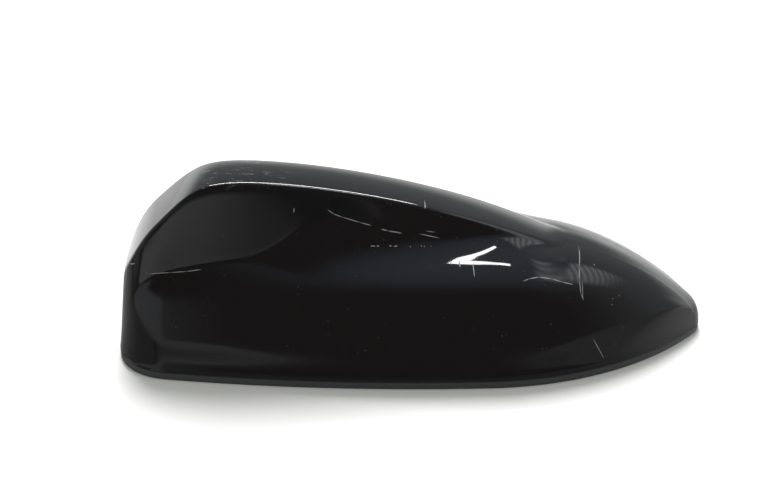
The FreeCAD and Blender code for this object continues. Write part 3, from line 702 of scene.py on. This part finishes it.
# Finish of each material slot, then the slot of each node that keeps its solid
FINISHES = {
    "foot_rubber": grained("foot_rubber", (0.040, 0.042, 0.043), (0.052, 0.055, 0.056), roughness=0.5,
                           scale=1500.0),
    "cast_carrier": grained("cast_aluminium", (0.42, 0.43, 0.44), (0.58, 0.59, 0.60), roughness=0.45,
                            metallic=0.9, scale=1200.0, depth=0.00004),
    "ring_rubber": grained("ring_rubber", (0.014, 0.014, 0.014), (0.024, 0.024, 0.024), roughness=0.7),
    "plated_steel": grained("plated_steel", (0.55, 0.55, 0.53), (0.68, 0.68, 0.66), roughness=0.28,
                            metallic=1.0, scale=800.0, depth=0.00001),
    "board_laminate": laminate(),
    "tinned_sheet": grained("tinned_sheet", (0.62, 0.62, 0.61), (0.74, 0.74, 0.73), roughness=0.3,
                            metallic=1.0, scale=500.0, depth=0.00001),
    "patch_ceramic": grained("patch_ceramic", (0.52, 0.44, 0.35), (0.64, 0.56, 0.46), roughness=0.4),
    "contact_brass": grained("contact_brass", (0.62, 0.44, 0.18), (0.78, 0.58, 0.27), roughness=0.22,
                             metallic=1.0, scale=700.0, depth=0.00001),
    "chip_plastic": grained("chip_plastic", (0.018, 0.018, 0.019), (0.03, 0.03, 0.032), roughness=0.6),
    "radio_housing": grained("radio_housing", (0.022, 0.022, 0.022), (0.036, 0.036, 0.036), roughness=0.45),
    "gnss_housing": grained("gnss_housing", (0.035, 0.10, 0.34), (0.055, 0.14, 0.44), roughness=0.45),
    "phone_housing": grained("phone_housing", (0.28, 0.045, 0.15), (0.38, 0.065, 0.22), roughness=0.45),
    "insulator_plastic": grained("insulator_plastic", (0.78, 0.78, 0.76), (0.88, 0.88, 0.86), roughness=0.5),
}
NODE_SLOTS = {
    "base_plate": "cast_carrier", "rim_seal": "ring_rubber", "fixing_bushes": "plated_steel",
    "cover_screws": "plated_steel", "main_board": "board_laminate", "board_screws": "plated_steel",
    "patch_ground": "tinned_sheet", "gnss_patch": "patch_ceramic", "patch_pin": "contact_brass",
    "radio_blade": "board_laminate", "roof_capacitor": "tinned_sheet", "phone_blade": "board_laminate",
    "shield_fence": "tinned_sheet", "shield_lid": "tinned_sheet", "amplifier_chips": "chip_plastic",
    "radio_socket": "radio_housing", "gnss_socket": "gnss_housing", "phone_socket": "phone_housing",
    "socket_shields": "contact_brass", "socket_insulators": "insulator_plastic",
    "socket_pins": "contact_brass",
}
cover.data.materials.append(gloss_cover())
foot.data.materials.append(FINISHES["foot_rubber"])
for name, slot in NODE_SLOTS.items():
    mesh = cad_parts[name].data
    mesh.materials.clear()
    mesh.materials.append(FINISHES[slot])


# Floor in metres: plain white; mirror rays see the wider room's light on it, in fields with soft edges
FLOOR = SimpleNamespace(
    half=3.0, white=(0.9, 0.9, 0.9), speckle=(0.89, 0.89, 0.89), speckle_scale=300.0, speckle_depth=0.00001,
    far=0.09, front=0.2, front_y=(-0.17, -0.1),
    right=0.33, right_x=(0.03, 0.1), right_far_x=(0.12, 0.2), right_near_y=(-0.22, -0.16),
    left=0.85, left_x=(-0.02, -0.11), left_end_x=(-0.2, -0.17),
    left_y=(-0.15, -0.19), left_end_y=(-0.45, -0.36),
    far_left=0.5, far_left_x=(-0.19, -0.28),
    beside=0.38, beside_y=(-0.03, 0.02),
    nose=0.8, nose_x=(0.05, 0.1), nose_y=(-0.06, 0.0),
    behind=1.3, behind_y=(0.02, 0.07),
)


def floor_light(tree):
    """Level of light that a mirror ray sees on the floor."""
    x, y, _ = separate(tree, object_place(tree))
    level = span(tree, y, *FLOOR.front_y, FLOOR.far, FLOOR.front)
    aside = calc(tree, "MAXIMUM", span(tree, x, *FLOOR.right_far_x), span(tree, y, *FLOOR.right_near_y))
    right = all_of(tree, aside, span(tree, x, *FLOOR.right_x))
    left = all_of(tree, span(tree, x, *FLOOR.left_x), span(tree, y, *FLOOR.left_y),
                  span(tree, y, *FLOOR.left_end_y), span(tree, x, *FLOOR.left_end_x))
    far_left = span(tree, x, *FLOOR.far_left_x)
    beside = span(tree, y, *FLOOR.beside_y)
    nose = all_of(tree, span(tree, x, *FLOOR.nose_x), span(tree, y, *FLOOR.nose_y))
    behind = span(tree, y, *FLOOR.behind_y)
    for share, light in ((right, FLOOR.right), (left, FLOOR.left), (far_left, FLOOR.far_left),
                         (beside, FLOOR.beside), (nose, FLOOR.nose), (behind, FLOOR.behind)):
        level = add_node(tree, "ShaderNodeMix", {"Factor": share, "A": level, "B": light}).outputs["Result"]
    return level


def floor_material():
    material, tree, shader = new_material("white_floor")
    speckle = use_group(tree, GRAIN, scale=FLOOR.speckle_scale, depth=FLOOR.speckle_depth)
    tone = blend(tree, speckle["Mask"], FLOOR.speckle, FLOOR.white)
    attach(tree, shader, Base_Color=tone, Roughness=1.0, Specular_IOR_Level=0.0)
    mirror = add_node(tree, "ShaderNodeEmission", {"Strength": floor_light(tree)})
    seen = add_node(tree, "ShaderNodeLightPath").outputs["Is Glossy Ray"]
    mixed = add_node(tree, "ShaderNodeMixShader", {0: seen, 1: shader.outputs[0], 2: mirror.outputs[0]})
    tree.links.new(mixed.outputs[0], tree.nodes["Material Output"].inputs["Surface"])
    return material


def add_floor():
    corners = [(-FLOOR.half, -FLOOR.half, 0.0), (FLOOR.half, -FLOOR.half, 0.0),
               (FLOOR.half, FLOOR.half, 0.0), (-FLOOR.half, FLOOR.half, 0.0)]
    mesh = bpy.data.meshes.new("floor")
    mesh.from_pydata(corners, [], [tuple(range(len(corners)))])
    mesh.materials.append(floor_material())
    floor = bpy.data.objects.new("floor", mesh)
    bpy.context.scene.collection.objects.link(floor)
    return floor


floor = add_floor()


# Surroundings: the tone of each field of the room, and the directions between which it fades in
ROOM = SimpleNamespace(
    tone=(0.125, 0.105, 0.098),
    left=(0.50, 0.53, 0.55), left_x=(-0.3, -0.6), left_z=(0.6, 0.4),
    back=(0.47, 0.50, 0.52), back_way=(0.5, 0.85, 0.0), back_toward=(-0.4, 0.5), back_z=(0.93, 0.72),
    ceiling=(0.40, 0.47, 0.56), ceiling_way=(0.08, 0.06, 0.995), ceiling_toward=(0.62, 1.0),
    ceiling_x=(-0.32, 0.02),
    backdrop=(1.5, 1.56, 1.52), backdrop_y=(0.05, 0.3), backdrop_z=(0.34, 0.06),
    louvre=(2.2, 2.24, 2.3), ambient=(0.52, 0.53, 0.50), white=(1.0, 1.0, 1.0),
)

# Slats of the louvre, on a ceiling one unit above
LOUVRE = SimpleNamespace(
    pitch=0.1, lean=0.4, mean=0.6, swing=0.3, lowest_z=0.05,
    left_x=(0.5, 0.6), right_x=(1.6, 0.8), near_y=(-0.4, -0.1), far_y=(0.55, 0.35),
)


def louvre_mask(tree, x, y, z):
    """Slatted patch of the ceiling to the right, as a mask."""
    over = calc(tree, "MAXIMUM", z, LOUVRE.lowest_z)
    along = calc(tree, "DIVIDE", x, over)
    across = calc(tree, "DIVIDE", y, over)
    leaning = calc(tree, "MULTIPLY_ADD", across, LOUVRE.lean, along)
    wave = calc(tree, "SINE", calc(tree, "MULTIPLY", leaning, 2 * math.pi / LOUVRE.pitch))
    slats = calc(tree, "MULTIPLY_ADD", wave, LOUVRE.swing, LOUVRE.mean)
    return all_of(tree, slats, span(tree, along, *LOUVRE.left_x), span(tree, along, *LOUVRE.right_x),
                  span(tree, across, *LOUVRE.near_y), span(tree, across, *LOUVRE.far_y))


def add_world():
    world = bpy.data.worlds.new("studio")
    bpy.context.scene.world = world
    world.use_nodes = True
    tree = world.node_tree
    way = add_node(tree, "ShaderNodeTexCoord").outputs["Generated"]
    x, y, z = separate(tree, way)
    toward_back = vector_calc(tree, "DOT_PRODUCT", "Value", way, ROOM.back_way)
    toward_ceiling = vector_calc(tree, "DOT_PRODUCT", "Value", way, ROOM.ceiling_way)
    left = all_of(tree, span(tree, x, *ROOM.left_x), span(tree, z, *ROOM.left_z))
    back = all_of(tree, span(tree, toward_back, *ROOM.back_toward), span(tree, z, *ROOM.back_z))
    ceiling = all_of(tree, span(tree, toward_ceiling, *ROOM.ceiling_toward), span(tree, x, *ROOM.ceiling_x))
    backdrop = all_of(tree, span(tree, y, *ROOM.backdrop_y), span(tree, z, *ROOM.backdrop_z))
    louvre = louvre_mask(tree, x, y, z)
    rays = add_node(tree, "ShaderNodeLightPath").outputs
    tone = ROOM.tone
    for share, light in ((left, ROOM.left), (back, ROOM.back), (ceiling, ROOM.ceiling),
                         (backdrop, ROOM.backdrop), (louvre, ROOM.louvre),
                         (rays["Is Diffuse Ray"], ROOM.ambient), (rays["Is Camera Ray"], ROOM.white)):
        tone = blend(tree, share, tone, light)
    attach(tree, tree.nodes["Background"], Color=tone, Strength=1.0)


def add_light(name, kind, energy, location, toward_way, glossy, diffuse):
    """Lamp whose Z axis points back along the given direction."""
    data = bpy.data.lights.new(name, kind)
    data.energy = energy
    lamp = bpy.data.objects.new(name, data)
    lamp.location = location
    lamp.rotation_euler = Vector(toward_way).to_track_quat("Z", "Y").to_euler()
    lamp.visible_glossy = glossy
    lamp.visible_diffuse = diffuse
    lamp.visible_camera = False
    bpy.context.scene.collection.objects.link(lamp)
    return data


# Main light from above and a little behind, wide and soft
SUN = SimpleNamespace(strength=3.4, tilt=math.radians(34.0), angle=math.radians(22.0), place=(0.0, 0.3, 1.0))

# Ceiling tubes that show as thin lines on the fin; places are shares of the ceiling's height in metres
TUBE_HEIGHT = 1.2
TUBES = (SimpleNamespace(start=-0.46, end=0.475, back=0.60, width=0.12, radiance=60.0),
         SimpleNamespace(start=0.06, end=0.32, back=0.025, width=0.065, radiance=26.0))


def add_sun():
    toward = (0.0, math.sin(SUN.tilt), math.cos(SUN.tilt))
    sun = add_light("overhead", "SUN", SUN.strength, SUN.place, toward, glossy=False, diffuse=True)
    sun.angle = SUN.angle


def add_tube(tube):
    """Lit rectangle on the ceiling that only mirror rays see."""
    length = (tube.end - tube.start) * TUBE_HEIGHT
    width = tube.width * TUBE_HEIGHT
    place = ((tube.start + tube.end) / 2 * TUBE_HEIGHT, tube.back * TUBE_HEIGHT, TUBE_HEIGHT)
    energy = tube.radiance * math.pi * length * width
    lamp = add_light("ceiling_tube", "AREA", energy, place, (0.0, 0.0, 1.0), glossy=True, diffuse=False)
    lamp.shape = "RECTANGLE"
    lamp.size = length
    lamp.size_y = width


add_world()
add_sun()
for tube in TUBES:
    add_tube(tube)

bpy.context.scene.view_settings.view_transform = "Standard"
